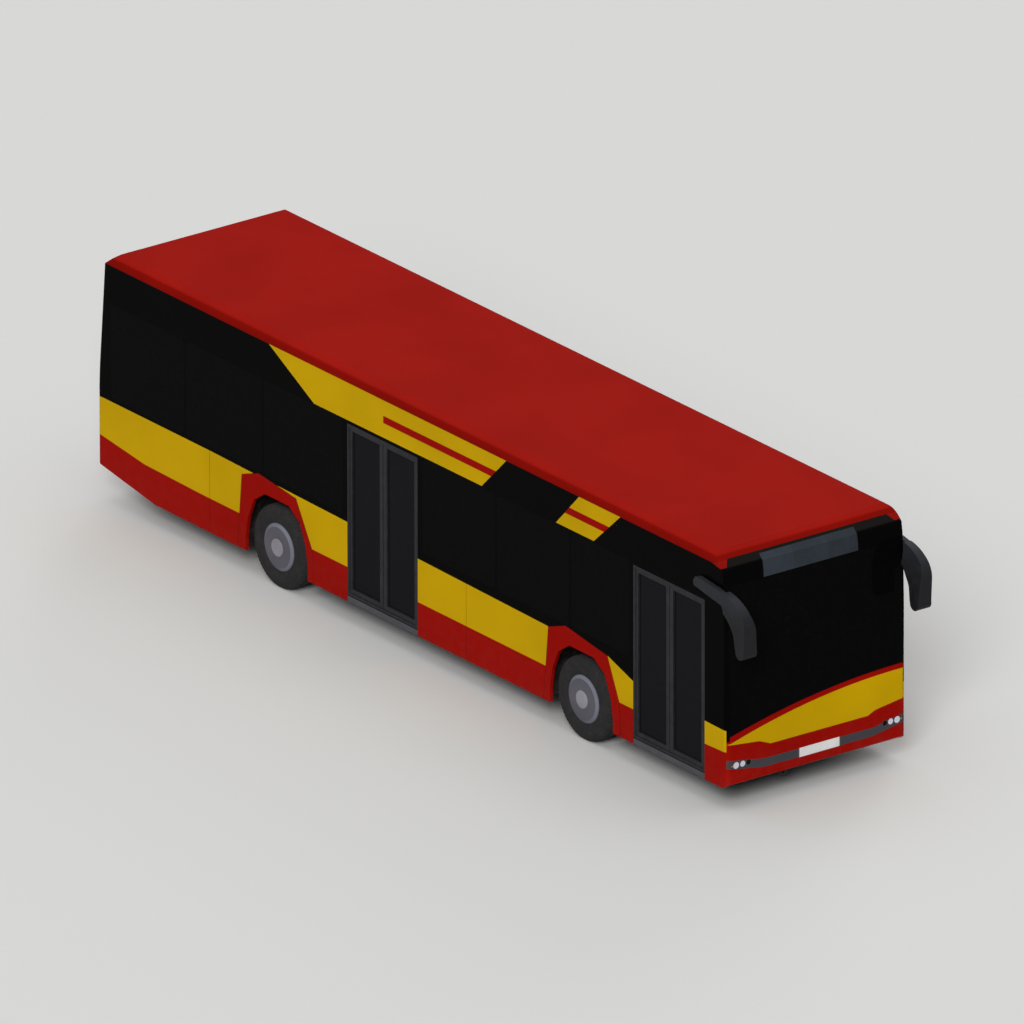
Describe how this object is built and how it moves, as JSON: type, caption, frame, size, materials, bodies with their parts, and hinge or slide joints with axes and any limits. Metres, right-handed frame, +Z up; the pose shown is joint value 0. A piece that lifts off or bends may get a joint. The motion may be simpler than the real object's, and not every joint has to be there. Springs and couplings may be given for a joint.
{
  "type": "city bus",
  "caption": "Low-floor city bus body on two axles, with gliding double doors on the right side, steered front wheels and a rear engine lid.",
  "frame": {"origin": "on the road under the middle of the whole bus, mirrors included", "axes": "+X forward, +Y to the driver's left, +Z up"},
  "size_m": [12.4, 2.67, 3.1097],
  "materials": {
    "red_paint": "gloss",
    "livery_paint": "gloss",
    "black_gloss": "gloss",
    "tinted_glass": "gloss",
    "lamp_lens": "gloss",
    "red_lens": "gloss",
    "plate_white": "satin",
    "mirror_plastic": "satin",
    "door_metal": "satin",
    "frame_steel": "matte",
    "floor_cover": "matte",
    "tyre_rubber": "matte",
    "rim_paint": "satin",
    "air_bellows": "matte",
    "cast_steel": "matte",
    "seat_plastic": "satin",
    "seat_fabric": "matte",
    "rail_steel": "gloss",
    "interior_plastic": "matte"
  },
  "bodies": {
    "bus_body": {"underframe": "frame_steel", "floor": "floor_cover", "wheelhouses": "floor_cover", "rear_deck": "floor_cover", "roof": "red_paint", "left_side": "livery_paint", "right_side": "livery_paint", "skirt_panels": "livery_paint", "wheel_arch_trims": "livery_paint", "front_mask": "livery_paint", "windscreen": "tinted_glass", "front_header": "black_gloss", "destination_display": "tinted_glass", "rear_wall": "livery_paint", "rear_window": "tinted_glass", "side_windows": "tinted_glass", "headlights": "lamp_lens", "tail_lights": "red_lens", "licence_plates": "plate_white", "mirrors": "mirror_plastic", "passenger_seats": "seat_plastic", "seat_pads": "seat_fabric", "driver_seat": "seat_plastic", "driver_partition": "interior_plastic", "dashboard": "interior_plastic", "handrails": "rail_steel", "front_axle": "cast_steel", "rear_axle": "cast_steel", "air_springs": "air_bellows", "engine": "cast_steel"},
    "left_steering": {"left_knuckle": "cast_steel"},
    "front_left_wheel": {"front_left_tyre": "tyre_rubber", "front_left_rim": "rim_paint"},
    "rear_left_wheels": {"rear_left_tyres": "tyre_rubber", "rear_left_rims": "rim_paint"},
    "right_steering": {"right_knuckle": "cast_steel"},
    "front_right_wheel": {"front_right_tyre": "tyre_rubber", "front_right_rim": "rim_paint"},
    "rear_right_wheels": {"rear_right_tyres": "tyre_rubber", "rear_right_rims": "rim_paint"},
    "steering_wheel": {"steering_wheel": "interior_plastic"},
    "front_door_rear_arms": {"front_door_rear_arms": "door_metal"},
    "front_door_rear_leaf": {"front_door_rear_leaf": "door_metal", "front_door_rear_pane": "tinted_glass"},
    "front_door_front_arms": {"front_door_front_arms": "door_metal"},
    "front_door_front_leaf": {"front_door_front_leaf": "door_metal", "front_door_front_pane": "tinted_glass"},
    "middle_door_rear_arms": {"middle_door_rear_arms": "door_metal"},
    "middle_door_rear_leaf": {"middle_door_rear_leaf": "door_metal", "middle_door_rear_pane": "tinted_glass"},
    "middle_door_front_arms": {"middle_door_front_arms": "door_metal"},
    "middle_door_front_leaf": {"middle_door_front_leaf": "door_metal", "middle_door_front_pane": "tinted_glass"},
    "engine_lid": {"engine_lid": "livery_paint"}
  },
  "joints": [
    {"name": "left_steer", "type": "hinge", "parent": "bus_body", "child": "left_steering", "pos_m": [3.06, 0.9675, 0.505], "axis": [0, 0, 1], "range_deg": [-38, 38]},
    {"name": "front_left_wheel_turn", "type": "hinge", "parent": "left_steering", "child": "front_left_wheel", "pos_m": [3.06, 1.1175, 0.505], "axis": [0, 1, 0], "continuous": true},
    {"name": "rear_left_wheels_turn", "type": "hinge", "parent": "bus_body", "child": "rear_left_wheels", "pos_m": [-2.74, 1.1175, 0.505], "axis": [0, 1, 0], "continuous": true},
    {"name": "right_steer", "type": "hinge", "parent": "bus_body", "child": "right_steering", "pos_m": [3.06, -0.9675, 0.505], "axis": [0, 0, 1], "range_deg": [-38, 38]},
    {"name": "front_right_wheel_turn", "type": "hinge", "parent": "right_steering", "child": "front_right_wheel", "pos_m": [3.06, -1.1175, 0.505], "axis": [0, 1, 0], "continuous": true},
    {"name": "rear_right_wheels_turn", "type": "hinge", "parent": "bus_body", "child": "rear_right_wheels", "pos_m": [-2.74, -1.1175, 0.505], "axis": [0, 1, 0], "continuous": true},
    {"name": "steering_wheel_turn", "type": "hinge", "parent": "bus_body", "child": "steering_wheel", "pos_m": [5, 0.74, 1.205], "axis": [-0.4695, 0, 0.8829], "range_deg": [-760, 760]},
    {"name": "front_door_rear_swing", "type": "hinge", "parent": "bus_body", "child": "front_door_rear_arms", "pos_m": [4.056, -1.246, 1.4], "axis": [0, 0, 1], "range_deg": [0, 82]},
    {"name": "front_door_rear_leaf_turn", "type": "hinge", "parent": "front_door_rear_arms", "child": "front_door_rear_leaf", "pos_m": [4.373, -1.246, 1.4], "axis": [0, 0, 1], "range_deg": [-164, 0]},
    {"name": "front_door_front_swing", "type": "hinge", "parent": "bus_body", "child": "front_door_front_arms", "pos_m": [5.359, -1.246, 1.4], "axis": [0, 0, -1], "range_deg": [0, 82]},
    {"name": "front_door_front_leaf_turn", "type": "hinge", "parent": "front_door_front_arms", "child": "front_door_front_leaf", "pos_m": [5.042, -1.246, 1.4], "axis": [0, 0, -1], "range_deg": [-164, 0]},
    {"name": "middle_door_rear_swing", "type": "hinge", "parent": "bus_body", "child": "middle_door_rear_arms", "pos_m": [-1.3655, -1.246, 1.4], "axis": [0, 0, 1], "range_deg": [0, 82]},
    {"name": "middle_door_rear_leaf_turn", "type": "hinge", "parent": "middle_door_rear_arms", "child": "middle_door_rear_leaf", "pos_m": [-1.0485, -1.246, 1.4], "axis": [0, 0, 1], "range_deg": [-164, 0]},
    {"name": "middle_door_front_swing", "type": "hinge", "parent": "bus_body", "child": "middle_door_front_arms", "pos_m": [-0.0625, -1.246, 1.4], "axis": [0, 0, -1], "range_deg": [0, 82]},
    {"name": "middle_door_front_leaf_turn", "type": "hinge", "parent": "middle_door_front_arms", "child": "middle_door_front_leaf", "pos_m": [-0.3795, -1.246, 1.4], "axis": [0, 0, -1], "range_deg": [-164, 0]},
    {"name": "engine_lid_lift", "type": "hinge", "parent": "bus_body", "child": "engine_lid", "pos_m": [-6.16068, 0, 1.591], "axis": [0, 1, 0], "range_deg": [0, 75]}
  ],
  "couplings": [
    {"joint": "right_steer", "follows": "left_steer", "ratio": 1},
    {"joint": "steering_wheel_turn", "follows": "left_steer", "ratio": 20},
    {"joint": "front_door_rear_leaf_turn", "follows": "front_door_rear_swing", "ratio": -2},
    {"joint": "front_door_front_leaf_turn", "follows": "front_door_front_swing", "ratio": -2},
    {"joint": "middle_door_rear_leaf_turn", "follows": "middle_door_rear_swing", "ratio": -2},
    {"joint": "middle_door_front_leaf_turn", "follows": "middle_door_front_swing", "ratio": -2}
  ]
}
